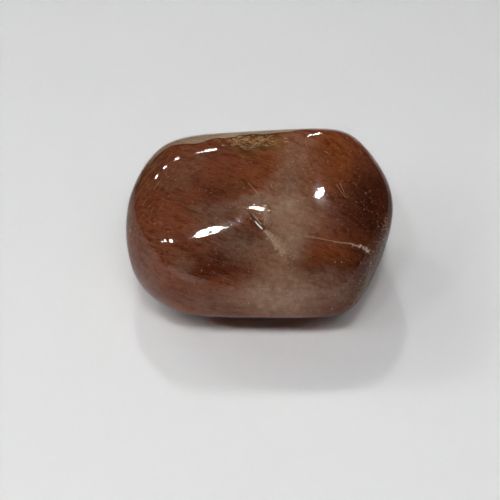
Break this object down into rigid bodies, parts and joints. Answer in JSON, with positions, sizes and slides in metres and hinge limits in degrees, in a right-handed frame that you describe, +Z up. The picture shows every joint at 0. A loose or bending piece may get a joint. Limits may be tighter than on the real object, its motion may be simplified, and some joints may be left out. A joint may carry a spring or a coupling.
{
  "type": "tumbled rutilated quartz",
  "caption": "Tumble-polished pebble of rutilated quartz with softly faceted worn faces, lying on a small flat; a collector's or decorative stone to rest on any level surface.",
  "frame": {"origin": "on the resting flat, below the middle of the stone's bounding box", "axes": "+X along the stone's length, +Y towards its back, +Z up from the resting flat"},
  "size_m": [0.032, 0.0226, 0.0204],
  "materials": {
    "quartz": "tumble-polished, glossy, partly see-through brown with golden and red-brown needles and milky clouds inside"
  },
  "bodies": {
    "root": {"quartz_stone": "quartz"}
  },
  "joints": []
}
